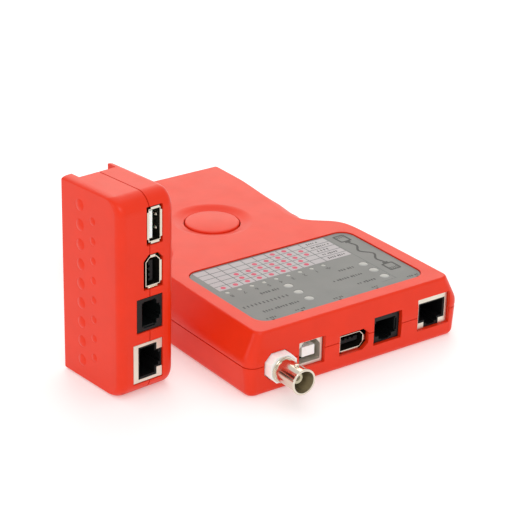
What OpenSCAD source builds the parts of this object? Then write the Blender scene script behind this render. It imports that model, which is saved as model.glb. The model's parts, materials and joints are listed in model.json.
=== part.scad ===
// Network cable tester: a hand-held main unit lying flat and a detachable
// remote unit standing on its end beside it. Millimetres, +Z up. The origin is
// the centre of the main unit's underside, on the surface it rests on.
// The main unit's connector face looks along -Y and its tail along +Y.

/* [Main unit] */
// Half width of the main unit at its widest level
main_hw = 52.6; // [51:0.2:53]
// Thickness of the main unit
main_t = 26.5; // [26:0.1:27.5]
// Height of the joint line between the two shells
part_z = 12.6; // [12.2:0.1:13]
// How far the connector face is from the origin at the widest level
front_d = 76.3; // [76:0.1:77]
// How far the tail's end face is from the origin
rear_d = 75.7; // [74:0.1:77]
// Wall thickness of the main shells
wall = 2; // [1.8:0.1:2.2]
// Rounding of the vertical corners at the connector face
front_r = 4.6; // [4:0.2:6]

/* [Docking rail] */
// Width of the rail behind the tail, which the remote unit slides onto
rail_w = 70; // [60:1:76]
// Depth of the rail
rail_d = 5; // [4:0.1:5.2]
// Thickness of the rail
rail_t = 16.8; // [15:0.1:16.9]

/* [Label and lights] */
// Width of the recessed label
label_w = 82; // [78:0.5:84]
// Length of the recessed label
label_l = 53; // [50:0.5:54]
// Distance between the small wire lights
led_pitch = 5.95; // [5.8:0.05:6.1]
// Diameter of the small wire lights
led_d = 3; // [2:0.1:3]
// Diameter of the larger status lights
status_d = 5; // [4:0.1:5]

/* [Button] */
// Diameter of the test button's visible disc
button_d = 23.5; // [22:0.1:23.8]
// Distance of the button's centre from the origin, towards the tail
button_y = 24.5; // [23.5:0.1:25]
// Travel of the button
button_travel = 0.8; // [0.4:0.1:0.8]

/* [Connectors] */
// Height of the main circuit board's upper face
board_z = 6.4; // [6.2:0.1:6.6]
// How far the jack faces sit back from the connector face
jack_set = 1.8; // [1:0.1:2]
// Outer diameter of the bayonet barrel
bnc_d = 9.66; // [9.5:0.01:9.7]

/* [Remote unit] */
// Thickness of the remote unit
rem_t = 25.6; // [25:0.1:26]
// Depth of the remote unit over its rear lips
rem_d = 36.7; // [36:0.1:37.5]
// Height of the remote unit at its connector face
rem_h = 81.6; // [81:0.1:82]
// Depth of the docking channel between the rear lips
chan_d = 5.3; // [5.2:0.05:5.6]
// Turn of the remote unit about the vertical
rem_turn = 4.6; // [3:0.1:6]
// Height to which the whole remote unit is placed above the surface
rem_lift = 0; // [0:1:20]

/* [Hidden] */
$fn = 40;

RED = [0.93, 0.25, 0.17];
DARK = [0.05, 0.05, 0.055];
STEEL = [0.78, 0.77, 0.74];
BOARD = [0.08, 0.35, 0.18];
GOLD = [0.85, 0.68, 0.3];

// ---- outline of the main unit -------------------------------------------
// half width against length: upper edge and widest level
top_tab = [[-80, 47.2], [-44, 47.1], [-22, 46.7], [-16, 46.5], [-11.4, 46], [-7.6, 44.8], [-4.2, 42.3],
  [-1.2, 38.6], [2, 34.8], [7, 31.1], [13.5, 29.6], [21, 31], [28, 32.7], [34, 34],
  [40, 35], [47, 36.1], [53, 36.8], [60, 37], [80, 37]];
mid_tab = [[-80, 52], [-44, 52], [-22, 51.9], [-16, 51.6], [-11.4, 50.9], [-7.6, 49.7], [-4.2, 47.4],
  [-1.2, 44.6], [2, 41.9], [7, 39.3], [13.5, 37.9], [21, 38.2], [28, 38.9], [34, 39.6],
  [40, 40.4], [47, 41.2], [53, 41.5], [60, 41.6], [80, 41.6]];
// how far the upper edge is rounded over into a finger grip, against length
grip_tab = [[-80, 0], [-2, 0], [3, 0.2], [8, 0.65], [12, 1], [24, 1], [30, 0.72], [36, 0.42], [44, 0.18], [52, 0], [80, 0]];
grip_z = 18.8;
function seg(t, y, i = 0) = (i >= len(t) - 2 || y < t[i + 1][0]) ? i : seg(t, y, i + 1);
function tangent(t, i) = i <= 0 || i >= len(t) - 1 ? 0 :
  (t[i + 1][1] - t[i - 1][1]) / (t[i + 1][0] - t[i - 1][0]);
function smooth(t, y) = let(i = seg(t, y), h = t[i + 1][0] - t[i][0], s = (y - t[i][0]) / h,
  s2 = s * s, s3 = s2 * s)
  (2 * s3 - 3 * s2 + 1) * t[i][1] + (s3 - 2 * s2 + s) * h * tangent(t, i)
  + (-2 * s3 + 3 * s2) * t[i + 1][1] + (s3 - s2) * h * tangent(t, i + 1);
// k = 0 widest level, 1 upper edge, -1 foot; e = extra inset all round
// g = 1 follows the rounded finger grip fully, 0 not at all
function grip(y) = max(0, min(1, smooth(grip_tab, y)));
function roll(z) = let(t = max(0, min(1, (z - grip_z) / (main_t - grip_z)))) 1 - sqrt(1 - t * t);
function hw(y, k, e, z, g) = let(b = k > 0 ? g * grip(y) : 0) smooth(mid_tab, y) * main_hw / 52
  + (k > 0 ? (k + b * (roll(z) - k)) * (smooth(top_tab, y) - smooth(mid_tab, y)) : k) - e * (1 - 0.8 * b);
function half_ring(z, k, e, g = 1, n = 34) = let(
    yf = -front_d + (k > 0 ? 1.4 * k : -0.7 * k) + e, yr = rear_d - 0.4 * abs(k) - e,
    rf = max(front_r - (k > 0 ? 0.9 * k : -1.2 * k) - e * 0.5, 1.5), rr = max(1.6 - e, 0.3),
    wf = hw(yf + rf, k, e, z, g), wr = hw(yr - rr, k, e, z, g))
  concat(
    [for (a = [0:15:90]) [wf - rf + rf * sin(a), yf + rf - rf * cos(a), z]],
    [for (i = [1:n]) let(y = yf + rf + (yr - rr - yf - rf) * i / (n + 1)) [hw(y, k, e, z, g), y, z]],
    [for (a = [0:30:90]) [wr - rr + rr * cos(a), yr - rr + rr * sin(a), z]]);
function ring(z, k, e, g = 1) = let(h = half_ring(z, k, e, g), n = len(h))
  concat(h, [for (i = [n - 1:-1:0]) [-h[i][0], h[i][1], z]]);
// a solid through a list of mirrored rings, lowest ring first, each seen from
// above running anticlockwise; the ends are closed with strips across the width
module loft(rings) {
  n = len(rings[0]); m = len(rings);
  h = n / 2; b = (m - 1) * n;
  polyhedron(points = [for (r = rings) each r], faces = concat(
    [for (i = [0:h - 2]) [i, i + 1, n - 2 - i, n - 1 - i]],
    [for (i = [0:h - 2]) [b + n - 1 - i, b + n - 2 - i, b + i + 1, b + i]],
    [for (j = [0:m - 2], i = [0:n - 1]) [j * n + i, (j + 1) * n + i, (j + 1) * n + (i + 1) % n, j * n + (i + 1) % n]]),
    convexity = 8);
}
up_levels = [[part_z, 0.05, 0], [14.2, 0, 0], [15.8, 0.03, 0], [17.2, 0.12, 0], [18.8, 0.28, 0], [20.6, 0.46, 0],
  [22.2, 0.63, 0], [23.6, 0.77, 0], [24.6, 0.87, 0], [25.2, 0.93, 0],
  [main_t - 0.6, 1, 0.1], [main_t - 0.2, 1, 0.4], [main_t, 1, 0.9]];
low_levels = [[0, -1, 1.8], [0.3, -1, 1.0], [1, -1, 0.4], [2.2, -0.9, 0], [part_z, -0.05, 0]];
up_in = [[part_z - 1, 0, wall], [15.8, 0.03, wall], [17.2, 0.12, wall], [main_t - wall, 0.88, wall + 0.3]];
low_in = [[wall, -0.9, wall + 0.4], [wall + 0.8, -0.85, wall], [part_z + 1, 0, wall]];
module outer(levels, g = 1) { loft([for (l = levels) ring(l[0], l[1], l[2], g)]); }

// screw positions of the main case, and of the board supports
screw_xy = [[-44, -36], [44, -36], [-33, 56.5], [33, 56.5]];
jack_y = -front_d + jack_set;
x_bnc = -38.7; x_usb = -22.3; x_fw = -1.6; x_r11 = 15.4; x_r45 = 39.2; z_bnc = 11.2;
bnc_w = 6.1; bnc_h = 5.5; bnc_c = 2.9; bnc_zc = 0.3; // half sizes, chamfer and rise of the plastic block
label_y = -41.5; label_z = main_t - 0.5; film = 0.4;
led_y = -37.9; led_x0 = -35.7;
status_x = [-11.7, 26.4]; status_y = [-45.8, -52.6, -59.5];
disp_z = 20.3; disp_t = 1.4;

module rounded(w, l, r, h) { linear_extrude(h) square_r(w, l, r); }
module square_r(w, l, r) {
  square([w - 2 * r, l], center = true); square([w, l - 2 * r], center = true);
  for (x = [-1, 1], y = [-1, 1]) translate([x * (w / 2 - r), y * (l / 2 - r)]) circle(r);
}
// openings in the connector face, shared by both shells
module front_cuts() {
  c = 0.3; y = -front_d - 2; d = 2 + wall + 2.5;
  translate([x_r45 - 8 - c, y, board_z - 0.1]) cube([16 + 2 * c, d, 13.5 + c + 0.1]);
  translate([x_r11 - 6.75 - c, y, board_z - 0.1]) cube([13.5 + 2 * c, d, 11.8 + c + 0.1]);
  translate([x_fw, y, board_z + 0.2]) rotate([-90, 0, 0]) mirror([0, 1, 0]) linear_extrude(d)
    polygon([[-6.8 - c, -c], [4.6, -c], [6.9 + c, 2], [6.9 + c, 6.5], [4.6, 8.5 + c], [-6.8 - c, 8.5 + c]]);
  translate([x_usb - 6 - c, y, board_z - 0.1]) cube([12 + 2 * c, d, 11 + c + 0.1]);
  translate([x_bnc, y, z_bnc]) let($len = d) along_y() bnc_outline(0.25);
}
module bnc_outline(g) translate([0, bnc_zc]) polygon([[-bnc_w - g, bnc_c - bnc_h - g / 2], [bnc_c - bnc_w - g / 2, -bnc_h - g],
  [bnc_w - bnc_c + g / 2, -bnc_h - g], [bnc_w + g, bnc_c - bnc_h - g / 2], [bnc_w + g, bnc_h - bnc_c + g / 2],
  [bnc_w - bnc_c + g / 2, bnc_h + g], [bnc_c - bnc_w - g / 2, bnc_h + g], [-bnc_w - g, bnc_h - bnc_c + g / 2]]);
module board_outline(c = 0) {
  difference() {
    union() {
      translate([-47, -72.3]) square([94, 60.3]);
      translate([-33, -12.5]) square([66, 12.5]);
      translate([-24, -0.5]) square([48, 40.5]);
    }
    for (p = screw_xy) translate(p) circle(d = 8.6);
    translate([x_bnc - 7.6, -73]) square([15.2, 3.2]);
  }
}

module upper_shell() color(RED) difference() {
  union() {
    difference() { outer(up_levels); outer(up_in, 0.5); }
    // screw posts
    for (p = screw_xy) translate([p[0], p[1], part_z]) cylinder(d = 7, h = main_t - wall - part_z + 0.1);
    // seat under the button and the button's guide
    translate([0, button_y, main_t - 4]) cylinder(d = 36, h = 2.1, $fn = 64);
    translate([0, button_y, 15.2]) difference() {
      cylinder(d = 9, h = 5.6); translate([0, 0, -1]) cylinder(d = 6.3, h = 8);
    }
    for (a = [45:90:315]) translate([0, button_y, 15.2]) rotate([0, 0, a])
      translate([3.9, -0.75, 0]) cube([13, 1.5, 2]);
    for (a = [45:90:315]) translate([0, button_y, 15.2]) rotate([0, 0, a])
      translate([15, -0.75, 0]) cube([1.9, 1.5, main_t - 4 - 15.2 + 0.1]);
    // upper half of the docking rail behind the tail
    translate([-rail_w / 2, rear_d - 2.5, part_z]) cube([rail_w, rail_d + 2.5, 4.4 + rail_t - part_z]);
    // pads that hold the display board
    for (x = [-34, 34], y = [-63.6, -17]) translate([x, y, disp_z + disp_t]) cylinder(d = 5, h = main_t - wall - disp_z - disp_t + 0.1);
  }
  for (p = screw_xy) translate([p[0], p[1], part_z - 1]) cylinder(d = 2.6, h = 9);
  front_cuts();
  translate([0, label_y, label_z - film]) rounded(label_w + 0.4, label_l + 0.4, 6, 2);
  // dished ring around the button, and the hole
  translate([0, button_y, 0]) rotate_extrude($fn = 72)
    polygon([[0, 10], [3.15, 10], [3.15, 20.8], [0, 20.8]]);
  translate([0, button_y, 0]) rotate_extrude($fn = 72)
    polygon([[0, 20.8], [12.2, 20.8], [12.2, main_t - 1.3], [17, main_t], [17, 28], [0, 28]]);
  for (i = [0:8]) translate([led_x0 + i * led_pitch, led_y, 23]) cylinder(d = led_d + 0.3, h = 4);
  for (x = status_x, y = status_y) translate([x, y, 23]) cylinder(d = status_d + 0.3, h = 4);
}

module lower_shell() color(RED) difference() {
  union() {
    difference() { outer(low_levels); difference() { outer(low_in); battery_walls(); } }
    for (p = screw_xy) translate([p[0], p[1], 1]) cylinder(d = 8, h = part_z - 1);
    // supports under the main board
    for (p = [[-20, -60], [20, -60], [-20, -20], [20, -20], [-12, 34], [12, 34]])
      translate([p[0], p[1], wall - 0.1]) cylinder(d = 6, h = board_z - 1.6 - wall + 0.1);
    // docking rail behind the tail
    translate([-rail_w / 2, rear_d - 2.5, 4.4]) cube([rail_w, rail_d + 2.5, part_z - 4.4]);
  }
  for (p = screw_xy) translate([p[0], p[1], -1]) { cylinder(d = 3.4, h = 20); cylinder(d = 6.4, h = 4.2); }
  front_cuts();
  // battery opening in the floor, with a ledge for the door
  translate([-27, 42.8, -1]) cube([54, 27.4, 6]);
  translate([-29, 41, -1]) cube([58, 31, 2]);
  translate([-6, 71, -1]) cube([12, 4, 2]);
}
// cross walls of the battery bay
module battery_walls() {
  translate([-28.6, 40.9, 0]) cube([57.2, 1.5, part_z + 2]);
  translate([-28.6, 70.6, 0]) cube([57.2, 1.4, part_z + 2]);
}

module battery_door() color(RED) {
  difference() {
    union() {
      translate([-28.8, 41.2, 0.15]) cube([57.6, 30.6, 0.7]);
      translate([-26.7, 43.1, 0.8]) cube([53.4, 26.8, 1.2]);
      translate([-5.7, 71.5, 0.15]) cube([11.4, 2.2, 0.7]);
    }
    // finger marks
    for (i = [0:3]) translate([-8, 60 + 2.2 * i, 0]) cube([16, 1, 0.5]);
  }
}

module label_panel() color([0.56, 0.59, 0.58]) translate([0, 0, label_z - film]) difference() {
  translate([0, label_y, 0]) rounded(label_w, label_l, 5.8, film);
  for (i = [0:8]) translate([led_x0 + i * led_pitch, led_y, -1]) cylinder(d = 2, h = 3);
  for (x = status_x, y = status_y) translate([x, y, -1]) cylinder(d = 4, h = 3);
}

module button_cap() color(RED) translate([0, button_y, 0]) rotate_extrude($fn = 72)
  polygon([[0, 14], [3, 14], [3, 22.6], [10.6, 22.6], [10.6, 21.3], [13.4, 21.3], [13.4, 22.3],
    [button_d / 2, 22.3], [button_d / 2, 25.4], [button_d / 2 - 0.3, 25.7], [button_d / 2 - 0.9, 25.95],
    [8, 26.2], [4, 26.35], [0, 26.4]]);

module switch_plunger() color([0.85, 0.83, 0.78]) translate([0, button_y, 0]) {
  translate([0, 0, 10.2]) cylinder(d = 6.6, h = 3.8);
  translate([0, 0, 9.2]) cylinder(d = 8, h = 1.05);
}
module tact_switch() color(DARK) translate([0, button_y, board_z]) difference() {
  translate([-6, -6, 0]) cube([12, 12, 4.2]);
  translate([0, 0, 1.6]) cylinder(d = 8.3, h = 2.3);
  translate([0, 0, 1]) cylinder(d = 6.9, h = 6);
}

module main_pcb() color(BOARD) difference() {
  translate([0, 0, board_z - 1.6]) linear_extrude(1.6) board_outline();
  for (x = [-4.5, 4.5]) translate([-16 + x, -6, 0]) cylinder(d = 1.2, h = 10);
}
module display_pcb() color(BOARD) difference() {
  translate([0, 0, disp_z]) linear_extrude(disp_t) polygon([[-40, -66.5], [40, -66.5], [40, -14], [-40, -14]]);
  for (x = [-34, 34], y = [-30]) translate([x, y, 0]) cylinder(d = 2.2, h = 40);
}
// plug-in pins between the two boards
module board_header() {
  color(DARK) translate([-15, -22, board_z]) cube([30, 2.5, 8.5]);
  color(GOLD) for (i = [0:11]) translate([-14 + 2.54 * i - 0.3, -21.1, board_z + 8.5]) cube([0.6, 0.6, disp_z - board_z - 8.5]);
}
module board_components() {
  color(DARK) {
    translate([-14, -40, board_z]) cube([18, 7.5, 3.2]);
    translate([12, -42, board_z]) cube([10, 6, 2.2]);
    translate([22, -26, board_z]) cylinder(d = 6.3, h = 7.5);
    translate([-30, -26, board_z]) cylinder(d = 6.3, h = 7.5);
  }
  color(STEEL) translate([12, -30, board_z]) rounded(11, 4.6, 2.2, 3.5);
  color([0.75, 0.65, 0.5]) for (i = [0:5]) translate([-20 + 5 * i, -48, board_z]) cube([3.2, 1.6, 0.8]);
}
module led(d, h) {
  cylinder(d = d, h = h - d / 2 + 0.2);
  intersection() { translate([0, 0, h - d / 2]) sphere(d = d, $fn = 28); cylinder(d = d + 1, h = h); }
  translate([0, 0, 0]) cylinder(d = d + 0.8, h = 0.8);
}
module wire_leds() color([0.95, 0.94, 0.92]) for (i = [0:8])
  translate([led_x0 + i * led_pitch, led_y, disp_z + disp_t]) led(led_d, 3.8);
module status_leds() color([0.95, 0.94, 0.92]) for (x = status_x, y = status_y)
  translate([x, y, disp_z + disp_t]) led(status_d, 3.8);

// ---- connectors: mouth at y = 0 facing -Y, on a board at z = 0 -----------
module rj45_cavity(g = 0) {
  translate([-5.95 - g, -1, 3.3 - g]) cube([11.9 + 2 * g, 12.5, 7.2 + 2 * g]);
  translate([-3.25 - g, -1, 1.6]) cube([6.5 + 2 * g, 12.5, 2.5]);
  translate([-2 - g, -1, 0.7]) cube([4 + 2 * g, 12.5, 1.5]);
}
module j45_shield() difference() {
  translate([-8, 0, 0]) cube([16, 18, 13.5]);
  translate([-7.75, 0.25, -1]) cube([15.5, 17.5, 14.25]);
  translate([-6.8, -1, 2.6]) cube([13.6, 2, 8.6]);
  translate([-3.8, -1, -1]) cube([7.6, 2, 4]);
}
module j45_housing() difference() {
  translate([-7.7, 0.3, 0]) cube([15.4, 17.4, 13.2]);
  rj45_cavity();
  translate([-5.2, 6.7, 9.8]) cube([10.4, 8.8, 2.2]);
}
module j45_contacts() for (i = [0:7]) translate([-4.06 + 1.16 * i - 0.2, 0, 0]) {
  translate([0, 8.2, 10.6]) cube([0.4, 7, 0.35]);
  translate([0, 4.6, 9]) rotate([0, 0, 0]) rotate([90, 0, 90]) linear_extrude(0.4)
    polygon([[6.9, 1.6], [6.9, 1.95], [3.3, 1.95], [0.2, 0.55], [0.5, 0.3], [3.5, 1.6]]);
}
module rj11_cavity() {
  translate([-4.95, -1, 2.6]) cube([9.9, 12, 6.8]);
  translate([-3.2, -1, 1.2]) cube([6.4, 12, 1.6]);
  translate([-1.9, -1, 0.6]) cube([3.8, 12, 1]);
}
module j11_housing() difference() {
  translate([-6.75, 0, 0]) cube([13.5, 16.5, 11.8]);
  rj11_cavity();
  translate([-3.6, 6.9, 8.4]) cube([7.2, 8.4, 2.2]);
  // stepped relief at the mouth
  translate([-5.6, -1, 3.3]) cube([11.2, 1.7, 5.2]);
}
module j11_contacts() for (i = [0:5]) translate([-2.55 + 1.02 * i - 0.18, 0, 0]) {
  translate([0, 4.2, 7.9]) rotate([90, 0, 90]) linear_extrude(0.36)
    polygon([[10.4, 1.6], [10.4, 1.95], [4.2, 1.95], [0.2, 0.5], [0.5, 0.3], [4.4, 1.6]]);
}
module fw_outline(g) polygon([[-6 - g, -g], [4 + 0.6 * g, -g], [5.7 + g, 1.7 - 0.5 * g], [5.7 + g, 5.1 + 0.5 * g],
  [4 + 0.6 * g, 6.8 + g], [-6 - g, 6.8 + g]]);
module along_y() { rotate([90, 0, 0]) mirror([0, 0, 1]) linear_extrude($len) children(); }
module fw_shell() {
  translate([0, 0, 0.9]) difference() {
    union() {
      let($len = 14) along_y() fw_outline(0);
      // lips turned out on three sides, and legs to the board
      translate([-5.2, 0, -0.75]) cube([8.6, 0.4, 0.9]);
      translate([-6.75, 0, 1.2]) cube([0.9, 0.4, 4.6]);
      translate([5.5, 0, 2.2]) cube([0.95, 0.4, 2.4]);
      for (x = [-6, 3.4]) translate([x, 5, -0.9]) cube([0.35, 3, 1.1]);
    }
    translate([0, -1, 0]) let($len = 14.6) along_y() fw_outline(-0.35);
  }
}
module fw_insert() translate([0, 0, 0.9]) {
  translate([0, 7, 0]) let($len = 6.5) along_y() fw_outline(-0.4);
  difference() {
    translate([-4.6, 1.4, 2.5]) cube([8.4, 6, 2]);
    for (i = [0:2]) translate([-3.6 + 2.2 * i, 0, 3.9]) cube([1, 6, 1]);
  }
}
module usb_b_outline(g) polygon([[-6 - g, -g], [6 + g, -g], [6 + g, 8.4], [3.4 + 0.4 * g, 11 + g], [-3.4 - 0.4 * g, 11 + g], [-6 - g, 8.4]]);
module ub_shell() difference() {
  translate([-6, 0, 0]) cube([12, 16, 11]);
  translate([0, -1, 1.3]) let($len = 20) along_y() polygon([[-5.2, 0], [5, 0], [5, 6.4], [2.9, 8.9], [-2.9, 8.9], [-5.2, 6.4]]);
  translate([-5.4, 4, -1]) cube([10.8, 20, 11.3]);
}
module ub_insert() {
  translate([-5.35, 9.5, 0]) cube([10.7, 6, 10.2]);
  difference() {
    translate([-3.1, 1, 3.3]) cube([6.2, 8.6, 4.2]);
    for (x = [-1.6, 0.8]) translate([x, 1.8, 7]) cube([0.8, 5, 1]);
  }
}
module ua_shell() difference() {
  union() {
    translate([-6.6, 0, 0.75]) cube([13.2, 14, 5.55]);
    for (x = [-6.6, 6.25]) translate([x, 5, 0]) cube([0.35, 3, 1]);
    // flared lips
    translate([-5.4, -0.1, 6.2]) cube([10.8, 0.4, 0.75]);
    translate([-5.4, -0.1, 0]) cube([10.8, 0.4, 0.85]);
    translate([-7.3, -0.1, 1.3]) cube([0.8, 0.4, 4]);
    translate([6.5, -0.1, 1.3]) cube([0.8, 0.4, 4]);
  }
  translate([-6.25, -1, 1.05]) cube([12.5, 14.6, 4.9]);
}
module ua_insert() {
  translate([-6.2, 9.2, 1.1]) cube([12.4, 4.2, 4.8]);
  difference() {
    translate([-5.6, 0.9, 3.9]) cube([11.2, 8.4, 1.9]);
    for (i = [0:3]) translate([-4.1 + 2.4 * i, 1.9, 3.7]) cube([1, 6, 0.5]);
  }
}
module at(x) { translate([x, jack_y, board_z]) children(); }
module usb_b_shell() color(STEEL) at(x_usb) ub_shell();
module usb_b_insert() color([0.9, 0.9, 0.88]) at(x_usb) ub_insert();
module firewire_shell() color(STEEL) at(x_fw) fw_shell();
module firewire_insert() color(DARK) at(x_fw) fw_insert();
module rj11_housing() color([0.12, 0.14, 0.15]) at(x_r11) j11_housing();
module rj11_contacts() color(GOLD) at(x_r11) j11_contacts();
module rj45_shield() color([0.83, 0.8, 0.72]) at(x_r45) j45_shield();
module rj45_housing() color(DARK) at(x_r45) j45_housing();
module rj45_contacts() color(GOLD) at(x_r45) j45_contacts();

// bayonet connector: square plastic body, metal barrel with two lugs
bnc_face = -front_d - 3.6;
module bnc_body() color([0.95, 0.94, 0.93]) translate([x_bnc, 0, z_bnc]) difference() {
  union() {
    translate([0, bnc_face, 0]) let($len = 6.6) along_y() bnc_outline(0);
    translate([-bnc_w, -73.6, board_z - z_bnc]) cube([2 * bnc_w, 14.2, 10.5]);
  }
  translate([0, bnc_face - 1, 0]) rotate([-90, 0, 0]) cylinder(d = bnc_d + 0.2, h = 12, $fn = 64);
}
module bnc_barrel() color(STEEL) translate([x_bnc, 0, z_bnc]) difference() {
  union() {
    translate([0, bnc_face - 12.9, 0]) rotate([-90, 0, 0]) cylinder(d = bnc_d, h = 22.7, $fn = 64);
    translate([0, bnc_face - 0.8, 0]) rotate([-90, 0, 0]) cylinder(d = 10.8, h = 0.8, $fn = 64);
    translate([0, bnc_face - 12.9, 0]) rotate([-90, 0, 0]) cylinder(d = 10.7, h = 0.7, $fn = 64);
    // bayonet lugs
    for (a = [0, 180]) rotate([0, a, 0]) translate([0, bnc_face - 7.9, 4.2]) cylinder(d = 2, h = 1.5, $fn = 24);
  }
  translate([0, bnc_face - 14, 0]) rotate([-90, 0, 0]) cylinder(d = 8.8, h = 23, $fn = 64);
  translate([0, bnc_face, 0]) rotate([-90, 0, 0]) cylinder(d = 2.6, h = 14, $fn = 32);
}
module bnc_dielectric() color([0.96, 0.95, 0.92]) translate([x_bnc, 0, z_bnc]) difference() {
  union() {
    translate([0, bnc_face - 8.9, 0]) rotate([-90, 0, 0]) cylinder(d = 4.6, h = 17.8, $fn = 48);
    translate([0, bnc_face - 0.6, 0]) rotate([-90, 0, 0]) cylinder(d = 8.7, h = 9.5, $fn = 48);
  }
  translate([0, bnc_face - 10, 0]) rotate([-90, 0, 0]) cylinder(d = 2.2, h = 25, $fn = 32);
}
module bnc_contact() color(GOLD) translate([x_bnc, bnc_face - 7.3, z_bnc]) rotate([-90, 0, 0]) difference() {
  cylinder(d = 2.1, h = 18, $fn = 32);
  translate([0, 0, -1]) cylinder(d = 1.4, h = 7, $fn = 32);
  translate([-3, -0.2, -1]) cube([6, 0.4, 5]);
}

// ---- battery ---------------------------------------------------------------
module battery_9v() {
  color([0.25, 0.27, 0.3]) translate([-24.25, 43.3, 2.1]) difference() {
    cube([46.4, 26.4, 17.5]);
    for (y = [0, 26.4], z = [0, 17.5]) translate([-1, y, z]) rotate([45, 0, 0]) cube([60, 1.6, 1.6], center = true);
  }
  color(STEEL) for (y = [50.1, 62.9]) translate([22.1, y, 10.9]) rotate([0, 90, 0]) cylinder(d = y > 60 ? 5.6 : 8, h = 2.2, $fn = 32);
}
module battery_snap() color(DARK) translate([22.3, 45, 3.6]) difference() {
  cube([4.4, 23, 14.6]);
  for (y = [50.1, 62.9]) translate([-1, y - 45, 7.3]) rotate([0, 90, 0]) cylinder(d = y > 60 ? 6 : 8.4, h = 3.2, $fn = 32);
}
function swp(p, i) = i == 0 ? p[1] - p[0] : i == len(p) - 1 ? p[i] - p[i - 1] : p[i + 1] - p[i - 1];
function frame_at(p, i) = let(t = swp(p, i) / norm(swp(p, i)), a = cross(t, abs(t[2]) < 0.8 ? [0, 0, 1] : [1, 0, 0]),
  n = a / norm(a)) [n, cross(t, n)];
module lead(p, r) loft_any([for (i = [0:len(p) - 1]) let(f = frame_at(p, i)) [for (k = [0:7]) p[i] + r * (cos(45 * k) * f[0] + sin(45 * k) * f[1])]]);
module loft_any(rings) {
  n = len(rings[0]); m = len(rings);
  polyhedron(points = [for (r = rings) each r], faces = concat(
    [[for (i = [n - 1:-1:0]) i]], [[for (i = [0:n - 1]) (m - 1) * n + i]],
    [for (j = [0:m - 2], i = [0:n - 1]) [j * n + (i + 1) % n, (j + 1) * n + (i + 1) % n, (j + 1) * n + i, j * n + i]]), convexity = 4);
}
lead_a = [[24.5, 44.9, 16.6], [24.5, 42, 16.9], [23.5, 38.5, 17], [21, 35.5, 15.8], [18.8, 33.2, 13.2], [18, 32, 10], [18, 32, 6.4]];
lead_b = [[24.5, 44.9, 14.6], [24.3, 42, 15], [22, 39, 15], [18, 37, 14.2], [15.6, 36.2, 12.2], [15, 36, 9.5], [15, 36, 6.4]];
module battery_leads() {
  color([0.7, 0.1, 0.08]) lead(lead_a, 0.7);
  color(DARK) lead(lead_b, 0.7);
}
module screw(len) {
  cylinder(d = 2.55, h = len, $fn = 24);
  difference() {
    cylinder(d = 5.4, h = 1.8, $fn = 32);
    translate([-1.7, -0.3, -0.1]) cube([3.4, 0.6, 1.1]);
    translate([-0.3, -1.7, -0.1]) cube([0.6, 3.4, 1.1]);
  }
}
module case_screws() color(STEEL) for (p = screw_xy) translate([p[0], p[1], 1.4]) screw(17);

// ---- remote unit: x across its thickness, y back from its connector face ----
module on_remote() { translate([-80.7, -50, rem_lift]) rotate([0, 0, rem_turn]) children(); }
rem_part = 1;
module on_side(w) { translate([7.05, 0.5, w]) rotate([0, -90, 0]) children(); }
w_r45 = 13.6; w_r11 = 33.4; w_fw = 50.7; w_usb = 69.1;
// outline in depth and height; f = inset of the connector face, e = inset elsewhere
function rem_ring(u, f, e) = let(r = 7 - f * 0.4, y0 = f, y1 = rem_d - e * 0.3, z0 = e,
    za = rem_h - e, zb = rem_h - 0.9 - e)
  concat([for (a = [0:15:90]) [u, y0 + r - r * cos(a), za - r + r * sin(a)]],
    [[u, y1 - 0.4, zb], [u, y1, zb - 0.4], [u, y1, z0 + 0.4], [u, y1 - 0.4, z0]],
    [for (a = [0:15:90]) [u, y0 + r - r * sin(a), z0 + r - r * cos(a)]]);
module rem_outer(levels) loft_any([for (l = levels) rem_ring(l[0], l[1], l[2])]);
hu = rem_t / 2;
function arc_levels(s, u0, rf, re) = [for (a = s > 0 ? [0:18:90] : [90:-18:0])
  [s * (hu - 3.6 + 3.6 * sin(a)), rf * (1 - cos(a)), re * (1 - cos(a))]];
module remote_cuts() {
  c = 0.3;
  // openings of the connector face, and the docking channel behind
  translate([0, 0, 0]) {
    translate([7.05 - 13.5 - c, -2, w_r45 - 8 - c]) cube([13.5 + c + 0.1, 8, 16 + 2 * c]);
    translate([7.05 - 11.8 - c, -2, w_r11 - 6.75 - c]) cube([11.8 + c + 0.1, 8, 13.5 + 2 * c]);
    translate([7.05, -2, w_fw]) rotate([0, -90, 0]) let($len = 8) along_y()
      polygon([[-6.8 - c, -0.1], [4.6, -0.1], [6.9, 2], [6.9, 6.5], [4.6, 8.5 + c], [-6.8 - c, 8.5 + c]]);
    translate([7.05 - 7.1 - c, -2, w_usb - 7.4 - c]) cube([7.1 + c + 0.1, 8, 14.8 + 2 * c]);
  }
  translate([-8.1, rem_d - chan_d, -1]) cube([17.1, 10, rem_h + 2]);
}
rem_screws = [[24, 24.5], [24, 60.2]];
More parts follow.
